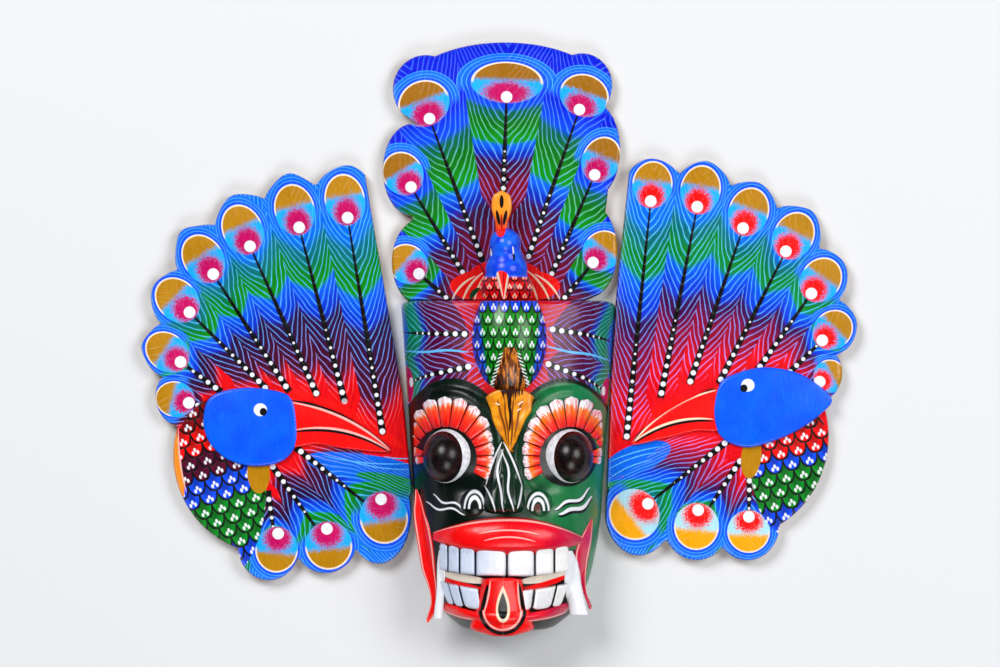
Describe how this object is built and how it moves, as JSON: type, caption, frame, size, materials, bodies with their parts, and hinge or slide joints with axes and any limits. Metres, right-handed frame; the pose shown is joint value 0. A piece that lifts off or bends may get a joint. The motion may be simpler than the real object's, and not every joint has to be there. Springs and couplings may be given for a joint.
{
  "type": "peacock raksha mask",
  "caption": "Carved and painted wooden demon mask with a peacock-feather crest board, fan-shaped wing boards and a hollow back for the wearer's face.",
  "frame": {"origin": "middle of the mask's underside as it lies on its back", "axes": "+X to the viewer's right across the wings, +Y towards the top of the crest, +Z out of the face"},
  "size_m": [0.6072, 0.5004, 0.0939],
  "materials": {
    "face_paint": "gloss enamel paint on carved wood",
    "crest_paint": "gloss enamel paint on a carved board",
    "bird_paint": "gloss enamel paint on carved wood",
    "wing_paint": "gloss enamel paint on a carved board"
  },
  "bodies": {
    "root": {"face": "face_paint", "crest": "crest_paint", "peacock_head": "bird_paint", "left_wing": "wing_paint", "right_wing": "wing_paint"}
  },
  "joints": []
}
